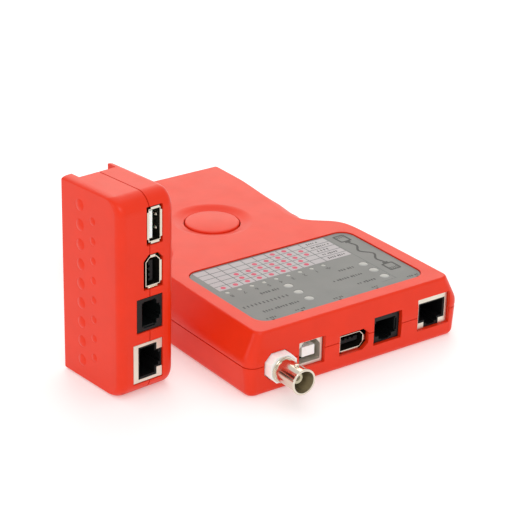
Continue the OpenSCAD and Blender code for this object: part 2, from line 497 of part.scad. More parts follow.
// a low dome of rim radius r and height h, its root 1 mm inside the wall
module nub(r, h) intersection() {
  let(big = (r * r + h * h) / (2 * h)) translate([big - h, 0, 0]) sphere(r = big, $fn = 40);
  translate([-h - 1, -r, -r]) cube([h + 2, 2 * r, 2 * r]);
}
module remote_upper_shell() color(RED) on_remote() difference() {
  union() {
    difference() {
      rem_outer(concat(arc_levels(-1, 0, 3.6, 1), [[rem_part, 0, 0]]));
      translate([-hu + 2, 2, 2]) cube([hu - 2 + rem_part + 1, rem_d - chan_d - 4, rem_h - 5]);
    }
    for (p = rem_screws) translate([-hu + 1.5, p[0], p[1]]) rotate([0, 90, 0]) cylinder(d = 6, h = hu - 1.5 + rem_part);
    // two rows of raised grip nubs on the broad face
    for (i = [0:8]) translate([-hu, 24.9, 8.4 + 8.07 * i]) nub(2.45, 0.75);
    for (i = [0:7]) translate([-hu, 16.9, 12.45 + 8.07 * i]) nub(1.65, 0.55);
  }
  remote_cuts();
  for (p = rem_screws) translate([-hu + 3, p[0], p[1]]) rotate([0, 90, 0]) cylinder(d = 2.6, h = 20);
}
module remote_lower_shell() color(RED) on_remote() difference() {
  union() {
    difference() {
      rem_outer(concat([[rem_part, 0, 0]], arc_levels(1, 0, 3.2, 3.2)));
      translate([rem_part - 1, 2, 2]) cube([hu - 2 - rem_part + 1, rem_d - chan_d - 4, rem_h - 5]);
    }
    for (p = rem_screws) translate([rem_part, p[0], p[1]]) rotate([0, 90, 0]) cylinder(d = 7, h = hu - rem_part - 1);
  }
  remote_cuts();
  for (p = rem_screws) translate([0, p[0], p[1]]) rotate([0, 90, 0]) { cylinder(d = 3.4, h = 20); translate([0, 0, hu - 3]) cylinder(d = 6.2, h = 8); }
}
module remote_pcb() color(BOARD) on_remote() difference() {
  translate([7.05, 2.6, 3]) cube([1.6, 26, 75]);
  for (p = rem_screws) translate([0, p[0], p[1]]) rotate([0, 90, 0]) cylinder(d = 7.8, h = 20);
}
module remote_components() color(DARK) on_remote() {
  translate([4.6, 20.5, 34]) cube([2.45, 6, 14]);
  for (i = [0:5]) translate([5.9, 20.2, 6 + 2.6 * i]) cube([1.15, 3.2, 1.6]);
}
module remote_usb_shell() color(STEEL) on_remote() on_side(w_usb) ua_shell();
module remote_usb_insert() color(DARK) on_remote() on_side(w_usb) ua_insert();
module remote_firewire_shell() color(STEEL) on_remote() on_side(w_fw) fw_shell();
module remote_firewire_insert() color(DARK) on_remote() on_side(w_fw) fw_insert();
module remote_rj11_housing() color([0.12, 0.14, 0.15]) on_remote() on_side(w_r11) j11_housing();
module remote_rj11_contacts() color(GOLD) on_remote() on_side(w_r11) j11_contacts();
module remote_rj45_shield() color([0.83, 0.8, 0.72]) on_remote() on_side(w_r45) j45_shield();
module remote_rj45_housing() color(DARK) on_remote() on_side(w_r45) j45_housing();
module remote_rj45_contacts() color(GOLD) on_remote() on_side(w_r45) j45_contacts();
module remote_screws() color(STEEL) on_remote() for (p = rem_screws)
  translate([hu - 1.2, p[0], p[1]]) rotate([0, -90, 0]) screw(14);

upper_shell();
lower_shell();
battery_door();
label_panel();
button_cap();
switch_plunger();
tact_switch();
main_pcb();
display_pcb();
board_header();
board_components();
wire_leds();
status_leds();
bnc_body();
bnc_barrel();
bnc_dielectric();
bnc_contact();
usb_b_shell();
usb_b_insert();
firewire_shell();
firewire_insert();
rj11_housing();
rj11_contacts();
rj45_shield();
rj45_housing();
rj45_contacts();
battery_9v();
battery_snap();
battery_leads();
case_screws();
remote_upper_shell();
remote_lower_shell();
remote_pcb();
remote_components();
remote_usb_shell();
remote_usb_insert();
remote_firewire_shell();
remote_firewire_insert();
remote_rj11_housing();
remote_rj11_contacts();
remote_rj45_shield();
remote_rj45_housing();
remote_rj45_contacts();
remote_screws();
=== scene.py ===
import json
import math

import bmesh
import bpy
from mathutils import Matrix, Vector

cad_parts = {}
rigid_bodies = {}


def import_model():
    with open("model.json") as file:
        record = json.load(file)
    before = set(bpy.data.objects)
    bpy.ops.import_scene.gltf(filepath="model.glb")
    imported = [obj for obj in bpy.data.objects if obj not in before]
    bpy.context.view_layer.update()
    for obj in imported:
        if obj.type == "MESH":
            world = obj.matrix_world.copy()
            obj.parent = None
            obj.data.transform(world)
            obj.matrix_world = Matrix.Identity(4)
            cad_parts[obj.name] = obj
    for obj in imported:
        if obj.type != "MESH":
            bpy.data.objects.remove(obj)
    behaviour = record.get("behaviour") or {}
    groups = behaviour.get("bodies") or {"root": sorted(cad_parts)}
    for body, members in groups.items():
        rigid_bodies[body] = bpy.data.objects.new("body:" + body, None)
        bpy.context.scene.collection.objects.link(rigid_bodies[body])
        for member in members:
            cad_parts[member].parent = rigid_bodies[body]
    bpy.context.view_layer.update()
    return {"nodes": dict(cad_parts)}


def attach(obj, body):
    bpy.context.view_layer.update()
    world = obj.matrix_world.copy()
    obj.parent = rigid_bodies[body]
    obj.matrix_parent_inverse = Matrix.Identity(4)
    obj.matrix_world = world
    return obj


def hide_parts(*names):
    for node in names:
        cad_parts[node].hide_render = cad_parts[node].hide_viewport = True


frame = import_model()
NODE = frame["nodes"]
SC = bpy.context.scene
MM = 0.001

# ---------------------------------------------------------------- mesh helpers


def new_object(name, verts, faces, mm=True):
    k = MM if mm else 1.0
    me = bpy.data.meshes.new(name)
    me.from_pydata([(v[0] * k, v[1] * k, v[2] * k) for v in verts], [], faces)
    me.update()
    ob = bpy.data.objects.new(name, me)
    SC.collection.objects.link(ob)
    return ob


def fix_normals(ob):
    bm = bmesh.new()
    bm.from_mesh(ob.data)
    bmesh.ops.remove_doubles(bm, verts=bm.verts, dist=1e-7)
    bmesh.ops.recalc_face_normals(bm, faces=bm.faces)
    bm.to_mesh(ob.data)
    bm.free()


def apply_modifiers(ob):
    bpy.context.view_layer.update()
    dg = bpy.context.evaluated_depsgraph_get()
    me = bpy.data.meshes.new_from_object(ob.evaluated_get(dg))
    old = ob.data
    ob.modifiers.clear()
    ob.data = me
    bpy.data.meshes.remove(old)


def remove(obs):
    for o in obs:
        me = o.data
        bpy.data.objects.remove(o)
        if me.users == 0:
            bpy.data.meshes.remove(me)


def boolean(ob, cutters, op="DIFFERENCE"):
    coll = bpy.data.collections.new("cutters")
    SC.collection.children.link(coll)
    for c in cutters:
        coll.objects.link(c)
        SC.collection.objects.unlink(c)
    m = ob.modifiers.new("cut", "BOOLEAN")
    m.operation = op
    m.operand_type = "COLLECTION"
    m.collection = coll
    m.solver = "EXACT"
    apply_modifiers(ob)
    remove(list(coll.objects))
    bpy.data.collections.remove(coll)
    return ob


def tidy(ob, dist=2e-6):
    bm = bmesh.new()
    bm.from_mesh(ob.data)
    bmesh.ops.remove_doubles(bm, verts=bm.verts, dist=dist)
    bmesh.ops.dissolve_degenerate(bm, edges=bm.edges, dist=dist)
    bm.to_mesh(ob.data)
    bm.free()


def shade(ob, angle=32):
    me = ob.data
    me.shade_smooth()
    me.set_sharp_from_angle(angle=math.radians(angle))
    return ob


def bevel(ob, width, segments=2, angle=35, clamp=True):
    m = ob.modifiers.new("bevel", "BEVEL")
    m.width = width * MM
    m.segments = segments
    m.limit_method = "ANGLE"
    m.angle_limit = math.radians(angle)
    m.use_clamp_overlap = clamp
    m.harden_normals = False
    apply_modifiers(ob)
    shade(ob, 40)
    return ob


def weighted(ob):
    m = ob.modifiers.new("wn", "WEIGHTED_NORMAL")
    m.keep_sharp = True
    m.weight = 60
    return ob


def loft(name, rings, closed_caps=True, strips=False):
    n, m = len(rings[0]), len(rings)
    verts = [p for r in rings for p in r]
    faces = []
    for j in range(m - 1):
        for i in range(n):
            a, b = j * n + i, j * n + (i + 1) % n
            c, d = (j + 1) * n + (i + 1) % n, (j + 1) * n + i
            faces.append((a, b, c, d))
    if closed_caps:
        if strips:
            h, b = n // 2, (m - 1) * n
            for i in range(h - 1):
                faces.append((n - 1 - i, n - 2 - i, i + 1, i))
                faces.append((b + i, b + i + 1, b + n - 2 - i, b + n - 1 - i))
        else:
            faces.append(tuple(reversed(range(n))))
            faces.append(tuple((m - 1) * n + i for i in range(n)))
    ob = new_object(name, verts, faces)
    fix_normals(ob)
    return ob


def revolve(name, prof, n=96, axis="z", at=(0, 0, 0)):
    """prof: (radius, height) points from the axis round to the axis."""
    verts, faces, idx = [], [], []
    for (r, h) in prof:
        if r < 1e-6:
            idx.append([len(verts)] * n)
            verts.append((0, 0, h))
        else:
            idx.append(list(range(len(verts), len(verts) + n)))
            verts += [(r * math.cos(2 * math.pi * k / n), r * math.sin(2 * math.pi * k / n), h) for k in range(n)]
    for j in range(len(prof) - 1):
        for k in range(n):
            a, b, c, d = idx[j][k], idx[j][(k + 1) % n], idx[j + 1][(k + 1) % n], idx[j + 1][k]
            f = []
            for q in (a, b, c, d):
                if q not in f:
                    f.append(q)
            if len(f) > 2:
                faces.append(tuple(f))
    if prof[0][0] > 1e-6 and prof[-1][0] > 1e-6:  # a ring: close the section
        for k in range(n):
            faces.append((idx[-1][k], idx[-1][(k + 1) % n], idx[0][(k + 1) % n], idx[0][k]))
    out = []
    for x, y, z in verts:
        if axis == "y":      # height runs along +Y
            x, y, z = x, z, -y
        elif axis == "x":    # height runs along +X
            x, y, z = z, y, -x
        out.append((x + at[0], y + at[1], z + at[2]))
    ob = new_object(name, out, faces)
    fix_normals(ob)
    return ob


def prism(outline, z0, z1):
    """verts, faces of an upright prism on a 2D outline (counterclockwise)."""
    n = len(outline)
    v = [(x, y, z0) for x, y in outline] + [(x, y, z1) for x, y in outline]
    f = [tuple(reversed(range(n))), tuple(range(n, 2 * n))]
    f += [(i, (i + 1) % n, n + (i + 1) % n, n + i) for i in range(n)]
    return v, f


def merge(name, parts):
    verts, faces = [], []
    for v, f in parts:
        o = len(verts)
        verts += v
        faces += [tuple(i + o for i in q) for q in f]
    ob = new_object(name, verts, faces)
    fix_normals(ob)
    return ob


def box_part(x0, x1, y0, y1, z0, z1):
    return prism([(x0, y0), (x1, y0), (x1, y1), (x0, y1)], z0, z1)


def rr(cx, cy, w, h, r, n=8):
    pts = []
    for sx, sy, a0 in ((1, 1, 0), (-1, 1, 90), (-1, -1, 180), (1, -1, 270)):
        for k in range(n + 1):
            a = math.radians(a0 + 90 * k / n)
            pts.append((cx + sx * (w / 2 - r) + r * math.cos(a), cy + sy * (h / 2 - r) + r * math.sin(a)))
    return pts


def disc(cx, cy, r, n=32):
    return [(cx + r * math.cos(2 * math.pi * k / n), cy + r * math.sin(2 * math.pi * k / n)) for k in range(n)]


# ------------------------------------------------------------------ materials


def lin(r, g, b):
    def f(c):
        c /= 255.0
        return c / 12.92 if c <= 0.04045 else ((c + 0.055) / 1.055) ** 2.4
    return (f(r), f(g), f(b), 1.0)


def material(name, colour, rough=0.4, metal=0.0, var=0.06, var_mm=9.0, grain_mm=0.3, grain=0.05,
             rough_var=0.06, second=None, coat=0.0, sub=0.0, trans=0.0, spec=0.5, aniso=0.0, speck=0.0):
    m = bpy.data.materials.new(name)
    m.use_nodes = True
    nt = m.node_tree
    nt.nodes.clear()
    N, L = nt.nodes.new, nt.links.new
    out = N("ShaderNodeOutputMaterial")
    b = N("ShaderNodeBsdfPrincipled")
    L(b.outputs[0], out.inputs[0])
    b.inputs["Metallic"].default_value = metal
    b.inputs["Specular IOR Level"].default_value = spec
    b.inputs["Coat Weight"].default_value = coat
    b.inputs["Coat Roughness"].default_value = 0.12
    b.inputs["Subsurface Weight"].default_value = sub
    b.inputs["Subsurface Radius"].default_value = (1.0, 0.25, 0.15)
    b.inputs["Subsurface Scale"].default_value = 0.0012
    b.inputs["Transmission Weight"].default_value = trans
    b.inputs["Anisotropic"].default_value = aniso
    tc = N("ShaderNodeTexCoord")
    # slow colour drift of the moulding
    n1 = N("ShaderNodeTexNoise")
    n1.inputs["Scale"].default_value = 1000.0 / var_mm
    n1.inputs["Detail"].default_value = 3.0
    L(tc.outputs["Object"], n1.inputs["Vector"])
    ramp = N("ShaderNodeValToRGB")
    c = colour
    d = second or tuple(max(0.0, x * (1 - var)) for x in c[:3]) + (1.0,)
    e = tuple(min(1.0, x * (1 + var * 0.6)) for x in c[:3]) + (1.0,)
    ramp.color_ramp.elements[0].position = 0.3
    ramp.color_ramp.elements[0].color = d
    ramp.color_ramp.elements[1].position = 0.7
    ramp.color_ramp.elements[1].color = e
    L(n1.outputs["Fac"], ramp.inputs["Fac"])
    L(ramp.outputs["Color"], b.inputs["Base Color"])
    # fine surface grain
    n2 = N("ShaderNodeTexNoise")
    n2.inputs["Scale"].default_value = 1000.0 / grain_mm
    n2.inputs["Detail"].default_value = 2.0
    L(tc.outputs["Object"], n2.inputs["Vector"])
    bump = N("ShaderNodeBump")
    bump.inputs["Strength"].default_value = min(1.0, grain * 4)
    bump.inputs["Distance"].default_value = 0.00004 * max(grain * 4, 0.25)
    L(n2.outputs["Fac"], bump.inputs["Height"])
    L(bump.outputs["Normal"], b.inputs["Normal"])
    # uneven gloss, as handled plastic or plated metal has
    n3 = N("ShaderNodeTexNoise")
    n3.inputs["Scale"].default_value = 1000.0 / 14.0
    n3.inputs["Detail"].default_value = 4.0
    n3.inputs["Roughness"].default_value = 0.65
    L(tc.outputs["Object"], n3.inputs["Vector"])
    mr = N("ShaderNodeMapRange")
    mr.inputs["From Min"].default_value = 0.3
    mr.inputs["From Max"].default_value = 0.7
    mr.inputs["To Min"].default_value = max(0.02, rough - rough_var)
    mr.inputs["To Max"].default_value = min(1.0, rough + rough_var)
    L(n3.outputs["Fac"], mr.inputs["Value"])
    L(mr.outputs["Result"], b.inputs["Roughness"])
    return m


M = {}
M["red"] = material("case_red_abs", lin(228, 48, 14), rough=0.34, var=0.035, grain_mm=0.35, grain=0.035, rough_var=0.035, spec=0.26)
M["button"] = material("button_red_abs", lin(228, 48, 14), rough=0.32, var=0.035, grain_mm=0.3, grain=0.03, rough_var=0.03, spec=0.26)
M["film"] = material("label_film", lin(110, 113, 111), rough=0.45, var=0.03, grain_mm=0.22, grain=0.03, rough_var=0.04)
M["white_ink"] = material("ink_white", lin(176, 171, 173), rough=0.5, var=0.02, grain_mm=0.2, grain=0.02, rough_var=0.03)
M["grey_ink"] = material("ink_grey", lin(96, 102, 101), rough=0.5, var=0.05, grain_mm=0.2, grain=0.02)
M["dark_ink"] = material("ink_dark", lin(40, 45, 45), rough=0.5, var=0.05, grain_mm=0.2, grain=0.02)
M["red_ink"] = material("ink_red", lin(200, 62, 92), rough=0.5, var=0.05, grain_mm=0.2, grain=0.02)
M["black_ink"] = material("ink_black", lin(20, 20, 22), rough=0.5, var=0.05, grain_mm=0.2, grain=0.02)
M["lens"] = material("lamp_lens", lin(158, 160, 156), rough=0.3, var=0.02, grain_mm=0.3, grain=0.01, coat=0.2)
M["lens_small"] = material("lamp_lens_small", lin(168, 170, 163), rough=0.34, var=0.02, grain_mm=0.3, grain=0.01, coat=0.1)
M["satin"] = material("satin_plate", lin(226, 220, 208), rough=0.42, metal=0.8, var=0.05, grain_mm=0.4, grain=0.03, rough_var=0.08)
# painted shade: a dark material for the deep insides of the metal connector shells, standing in for the shade there
M["inside_shade"] = material("shell_inside_painted_shade", lin(46, 42, 36), rough=0.45, metal=0.7, var=0.08, grain_mm=0.3, grain=0.04)
M["olive"] = material("socket_inside", lin(176, 164, 136), rough=0.4, metal=0.85, var=0.06, grain_mm=0.3, grain=0.04)
M["cream"] = material("socket_dielectric", lin(226, 218, 190), rough=0.4, var=0.03, grain_mm=0.3, grain=0.02)
# painted shade: the gold contact colour darkened, for the pin deep inside the BNC socket
M["shaded_gold_pin"] = material("contact_gold_painted_shade", lin(96, 76, 40), rough=0.45, metal=0.8, var=0.05, grain_mm=0.3, grain=0.02)
M["black"] = material("connector_black", lin(12, 12, 13), rough=0.5, spec=0.25, var=0.15, grain_mm=0.25, grain=0.06)
M["charcoal"] = material("connector_charcoal", lin(13, 17, 17), rough=0.45, spec=0.3, var=0.12, grain_mm=0.25, grain=0.06)
M["nickel"] = material("nickel_plate", lin(222, 212, 196), rough=0.14, metal=1.0, var=0.05, grain_mm=0.4, grain=0.02, rough_var=0.04)
M["tin"] = material("tin_plate", lin(226, 220, 206), rough=0.36, metal=1.0, var=0.06, grain_mm=0.4, grain=0.03, rough_var=0.08)
M["white"] = material("white_plastic", lin(252, 251, 248), rough=0.3, var=0.02, grain_mm=0.3, grain=0.03, sub=0.15)
M["gold"] = material("gold_contact", lin(224, 178, 88), rough=0.24, metal=1.0, var=0.06, grain_mm=0.3, grain=0.02)
M["board"] = material("solder_mask", lin(28, 92, 52), rough=0.34, var=0.12, var_mm=3.0, grain_mm=0.4, grain=0.05)
M["wrap"] = material("battery_jacket", lin(60, 66, 76), rough=0.3, metal=0.4, var=0.1, grain_mm=0.5, grain=0.03)
M["pvc"] = material("lead_pvc", lin(150, 30, 26), rough=0.38, var=0.08, grain_mm=0.3, grain=0.03)
M["zinc"] = material("zinc_steel", lin(176, 178, 180), rough=0.32, metal=1.0, var=0.08, grain_mm=0.3, grain=0.04)


def paint(ob, mat):
    ob.data.materials.clear()
    ob.data.materials.append(M[mat])
    return ob


def dress(node, mat, width=0.0, seg=2):
    """A CAD node that stays: its material, and small modelled edge radii."""
    o = NODE[node]
    o.data.materials.clear()
    o.data.materials.append(M[mat])
    w = o.modifiers.new("weld", "WELD")
    w.merge_threshold = 2e-6
    if width:
        m = o.modifiers.new("bevel", "BEVEL")
        m.width = width * MM
        m.segments = seg
        m.limit_method = "ANGLE"
        m.angle_limit = math.radians(38)
        m.harden_normals = False
    n = o.modifiers.new("wn", "WEIGHTED_NORMAL")
    n.keep_sharp = False
    return o


def inside(node, mat, origin, inward, depth):
    """Give the faces of a CAD node that lie deeper than depth (mm) behind its mouth a second material: painted shade, a
    dark copy standing in for the shade deep in the opening.
    """
    o = NODE[node]
    o.data.materials.append(M[mat])
    d = Vector(inward).normalized()
    for p in o.data.polygons:
        c = o.matrix_world @ p.center
        if (c - Vector(origin) * MM).dot(d) > depth * MM:
            p.material_index = 1


def place(ob, body, mat, slot_name, *stands_for):
    paint(ob, mat)
    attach(ob, body)
    if stands_for:
        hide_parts(*stands_for)
    return ob


# ------------------------------------------------------- main unit: the shells
T, PART = 26.5, 12.6
FRONT, REAR = 76.3, 75.7
TOP = [(-80, 47.2), (-44, 47.1), (-22, 46.7), (-16, 46.5), (-11.4, 46), (-7.6, 44.8), (-4.2, 42.3), (-1.2, 38.6),
       (2, 34.8), (7, 31.1), (13.5, 29.6), (21, 31), (28, 32.7), (34, 34), (40, 35), (47, 36.1), (53, 36.8), (60, 37), (80, 37)]
MID = [(-80, 52), (-44, 52), (-22, 51.9), (-16, 51.6), (-11.4, 50.9), (-7.6, 49.7), (-4.2, 47.4), (-1.2, 44.6),
       (2, 41.9), (7, 39.3), (13.5, 37.9), (21, 38.2), (28, 38.9), (34, 39.6), (40, 40.4), (47, 41.2), (53, 41.5), (60, 41.6), (80, 41.6)]
MAIN_HW = 52.6
GRIP = [(-80, 0), (-2, 0), (3, 0.2), (8, 0.65), (12, 1), (24, 1), (30, 0.72), (36, 0.42), (44, 0.18), (52, 0), (80, 0)]
GRIP_Z = 18.8


def smooth(t, y):
    i = 0
    while i < len(t) - 2 and y >= t[i + 1][0]:
        i += 1

    def tan(k):
        return 0 if k <= 0 or k >= len(t) - 1 else (t[k + 1][1] - t[k - 1][1]) / (t[k + 1][0] - t[k - 1][0])
    h = t[i + 1][0] - t[i][0]
    s = (y - t[i][0]) / h
    s2, s3 = s * s, s ** 3
    return ((2 * s3 - 3 * s2 + 1) * t[i][1] + (s3 - 2 * s2 + s) * h * tan(i)
            + (-2 * s3 + 3 * s2) * t[i + 1][1] + (s3 - s2) * h * tan(i + 1))


def roll(z):
    t = max(0.0, min(1.0, (z - GRIP_Z) / (T - GRIP_Z)))
    return 1 - math.sqrt(1 - t * t)


def half_width(y, k, e, z, g):
    b = g * max(0.0, min(1.0, smooth(GRIP, y))) if k > 0 else 0.0
    return (smooth(MID, y) * MAIN_HW / 52
            + ((k + b * (roll(z) - k)) * (smooth(TOP, y) - smooth(MID, y)) if k > 0 else k) - e * (1 - 0.8 * b))


def main_ring(z, k, e, g=1.0, n=120, na=16):
    yf = -FRONT + (1.4 * k if k > 0 else -0.7 * k) + e
    yr = REAR - 0.4 * abs(k) - e
    rf = max(4.6 - (0.9 * k if k > 0 else -1.2 * k) - e * 0.5, 1.5)
    rb = max(1.6 - e, 0.3)
    wf, wr = half_width(yf + rf, k, e, z, g), half_width(yr - rb, k, e, z, g)
    h = []
    for j in range(na + 1):
        a = math.radians(90 * j / na)
        h.append((wf - rf + rf * math.sin(a), yf + rf - rf * math.cos(a), z))
    for i in range(1, n + 1):
        y = yf + rf + (yr - rb - yf - rf) * i / (n + 1)
        h.append((half_width(y, k, e, z, g), y, z))
    for j in range(7):
        a = math.radians(15 * j)
        h.append((wr - rb + rb * math.cos(a), yr - rb + rb * math.sin(a), z))
    return h + [(-x, y, zz) for x, y, zz in reversed(h)]


def kz(z):
    """The share of the way from the widest level to the upper edge, at height z."""
    pts = [(12.6, 0.05), (13.4, 0.015), (14.2, 0.0), (15.0, 0.008), (15.8, 0.03), (16.5, 0.07), (17.2, 0.12), (25.2, 0.93), (25.9, 0.99), (26.5, 1.0)]
    for (a, ka), (b, kb) in zip(pts, pts[1:]):
        if z <= b:
            return ka + (kb - ka) * (z - a) / (b - a)
    return 1.0


up_z = [(PART + 0.01, 0.75), (PART + 0.11, 0.7), (PART + 0.13, 0.06), (PART + 0.2, 0.0), (13.4, 0), (14.2, 0), (15.0, 0), (15.8, 0), (16.5, 0), (17.2, 0), (18, 0), (18.8, 0),
        (19.8, 0), (20.8, 0), (21.7, 0), (22.5, 0), (23.2, 0), (23.8, 0), (24.3, 0), (24.75, 0), (25.15, 0.0), (25.45, 0.01), (25.7, 0.04), (25.92, 0.1), (26.1, 0.19), (26.25, 0.31),
        (26.36, 0.46), (26.44, 0.62), (26.48, 0.78), (26.5, 1.0)]
upper = loft("case_upper", [main_ring(z, kz(z), e) for z, e in up_z], strips=True)
lo_lv = [(0.0, -1, 1.8), (0.06, -1, 1.45), (0.2, -1, 1.12), (0.45, -1, 0.8), (0.8, -1, 0.5), (1.2, -0.98, 0.28), (1.7, -0.95, 0.1), (2.2, -0.9, 0),
         (5, -0.68, 0), (8, -0.42, 0), (11, -0.17, 0), (PART - 0.2, -0.07, 0), (PART - 0.13, -0.06, 0.06), (PART - 0.11, -0.06, 0.7), (PART - 0.01, -0.05, 0.75)]
lower = loft("case_lower", [main_ring(z, k, e) for z, k, e in lo_lv], strips=True)

JY = -74.5
BZ = 6.4
X_BNC, X_USB, X_FW, X_11, X_45, Z_BNC = -38.7, -22.3, -1.6, 15.4, 39.2, 11.2
SCREWS = [(-44, -36), (44, -36), (-33, 56.5), (33, 56.5)]
BUT_Y = 24.5
LABEL = (0, -41.5, 82, 53)
LED_X, LED_Y = [-35.7 + 5.95 * i for i in range(9)], -37.9
ST_X, ST_Y = [-11.7, 26.4], [-45.8, -52.6, -59.5]
BW, BH, BC, BZC = 6.1, 5.5, 2.9, 0.3


def bnc_outline(g):
    pts = [(-BW - g, BC - BH - g / 2), (BC - BW - g / 2, -BH - g), (BW - BC + g / 2, -BH - g), (BW + g, BC - BH - g / 2),
           (BW + g, BH - BC + g / 2), (BW - BC + g / 2, BH + g), (BC - BW - g / 2, BH + g), (-BW - g, BH - BC + g / 2)]
    return [(X_BNC + x, Z_BNC + BZC + z) for x, z in pts]




def front_opening(outline, y0=-79.0, y1=-71.8, edge=-76.05, flare=0.35):
    """A cutter through the connector face on an (x, z) outline, with a small flared mouth."""
    cx = sum(p[0] for p in outline) / len(outline)
    cz = sum(p[1] for p in outline) / len(outline)

    def grown(g):
        out = []
        for x, z in outline:
            dx, dz = x - cx, z - cz
            d = math.hypot(dx, dz)
            out.append((x + g * dx / d * 1.3, z + g * dz / d * 1.3))
        return out
    rings = []
    for y in (y0, edge, y1):
        rings.append([(x, y, z) for x, z in grown((edge - y) * flare / 0.35 if y < edge else 0.0)])
    return loft("cut", rings)


def rect2(x0, x1, z0, z1, r=0.3, n=3):
    return rr((x0 + x1) / 2, (z0 + z1) / 2, x1 - x0, z1 - z0, r, n)


def front_cutters():
    c = 0.3
    return [
        front_opening(rect2(X_45 - 8 - c, X_45 + 8 + c, BZ - 0.1, BZ + 13.5 + c)),
        front_opening(rect2(X_11 - 6.75 - c, X_11 + 6.75 + c, BZ - 0.1, BZ + 11.8 + c)),
        front_opening([(X_FW + x, BZ + 0.2 + z) for x, z in [(-7.1, -0.3), (4.6, -0.3), (7.2, 2), (7.2, 6.5), (4.6, 8.8), (-7.1, 8.8)]]),
        front_opening(rect2(X_USB - 6 - c, X_USB + 6 + c, BZ - 0.1, BZ + 11 + c)),
        front_opening(bnc_outline(0.25), flare=0.15),
    ]


cut = front_cutters()
inner_up = loft("inner", [main_ring(z, k, e, 0.5, n=60, na=8) for z, k, e in
                          [(PART - 1, 0, 2), (15.8, 0.03, 2), (17.2, 0.12, 2), (T - 2, 0.88, 2.3)]], strips=True)
cut.append(inner_up)
# label recess, with a soft lip
cut.append(loft("cut", [[(x, y, z) for x, y in rr(LABEL[0], LABEL[1], LABEL[2] + 0.4 + g, LABEL[3] + 0.4 + g, 6 + g / 2, 12)]
                        for z, g in ((T - 0.9, 0), (T - 0.22, 0), (T - 0.1, 0.07), (T - 0.02, 0.22), (T + 0.3, 0.9))]))
# dished ring round the button, and its hole
cut.append(revolve("cut", [(0, 20.9), (12.2, 20.9), (12.2, T - 1.42), (12.38, T - 1.3), (13.0, T - 1.2), (13.9, T - 0.95), (14.9, T - 0.62),
                           (15.9, T - 0.3), (16.7, T - 0.1), (17.4, T - 0.015), (18.0, T + 0.02), (18.0, T + 1), (0, T + 1)], 128, at=(0, BUT_Y, 0)))
for x in LED_X:
    cut.append(revolve("cut", [(0, 23), (1.65, 23), (1.65, 27), (0, 27)], 32, at=(x, LED_Y, 0)))
for x in ST_X:
    for y in ST_Y:
        cut.append(revolve("cut", [(0, 23), (2.65, 23), (2.65, 27), (0, 27)], 40, at=(x, y, 0)))
boolean(upper, cut)
# docking rail, upper half
rail_up = loft("rail", [[(x, y, z) for x, y in [(-35 + g, 73.2), (35 - g, 73.2), (35 - g, 80.7 - g), (-35 + g, 80.7 - g)]]
                        for z, g in ((PART + 0.02, 0.2), (PART + 0.2, 0), (20.9, 0), (21.2, 0.3))])
posts = [revolve("post", [(1.3, PART + 0.1), (3.5, PART + 0.1), (3.5, 24.6), (1.3, 24.6)], 32, at=(x, y, 0)) for x, y in SCREWS]
guide = revolve("guide", [(3.15, 15.2), (4.5, 15.2), (4.5, 20.8), (3.15, 20.8)], 48, at=(0, BUT_Y, 0))
seat = revolve("seat", [(12.2, T - 4), (18, T - 4), (18, T - 1.95), (12.2, T - 1.95)], 96, at=(0, BUT_Y, 0))
boolean(upper, [rail_up, seat] + posts, "UNION")
tidy(upper)
shade(upper, 28)
weighted(upper)
place(upper, "main_unit", "red", "red_abs", "upper_shell")
place(shade(guide, 30), "main_unit", "red", "red_abs")
guide.name = "button_guide"

cut = front_cutters()
inner_lo = loft("inner", [main_ring(z, k, e, 0.5, n=60, na=8) for z, k, e in
                          [(2, -0.9, 2.4), (2.8, -0.85, 2.0), (PART + 1, 0, 2.0)]], strips=True)
cut.append(inner_lo)
for x0, x1, y0, y1, z0, z1 in ((-27, 27, 42.8, 70.2, -1, 5), (-29, 29, 41, 72, -1, 1), (-6, 6, 71, 75, -1, 1)):
    v, f = box_part(x0, x1, y0, y1, z0, z1)
    c = new_object("cut", v, f)
    fix_normals(c)
    cut.append(c)
for x, y in SCREWS:
    cut.append(revolve("cut", [(0, -1), (3.5, -1), (3.2, 0.25), (3.2, 3.2), (1.7, 3.2), (1.7, 8), (0, 8)], 48, at=(x, y, 0)))
boolean(lower, cut)
rail_lo = loft("rail", [[(x, y, z) for x, y in [(-35 + g, 73.2), (35 - g, 73.2), (35 - g, 80.7 - g), (-35 + g, 80.7 - g)]]
                        for z, g in ((4.4, 0.3), (4.7, 0), (PART - 0.2, 0), (PART - 0.02, 0.2))])
posts = [revolve("post", [(1.7, 3.2), (4, 3.2), (4, PART - 0.05), (1.7, PART - 0.05)], 40, at=(x, y, 0)) for x, y in SCREWS]
boolean(lower, [rail_lo] + posts, "UNION")
tidy(lower)
shade(lower, 28)
weighted(lower)
place(lower, "main_unit", "red", "red_abs", "lower_shell")

# ------------------------------------------------------------- the test button
cap = revolve("test_button", [(0, 14.0), (2.8, 14.0), (3.0, 14.2), (3.0, 22.6), (10.6, 22.6), (10.6, 21.35), (13.3, 21.35), (13.38, 21.5), (13.38, 22.2), (13.3, 22.3),
                              (11.75, 22.3), (11.75, 25.1), (11.72, 25.32), (11.63, 25.52), (11.48, 25.67), (11.25, 25.78), (10.8, 25.87), (9.9, 25.96), (8.5, 26.09),
                              (6.5, 26.22), (4, 26.33), (2, 26.38), (0, 26.4)], 128, at=(0, BUT_Y, 0))
shade(cap, 35)
place(cap, "test_button", "button", "button_red", "button_cap")

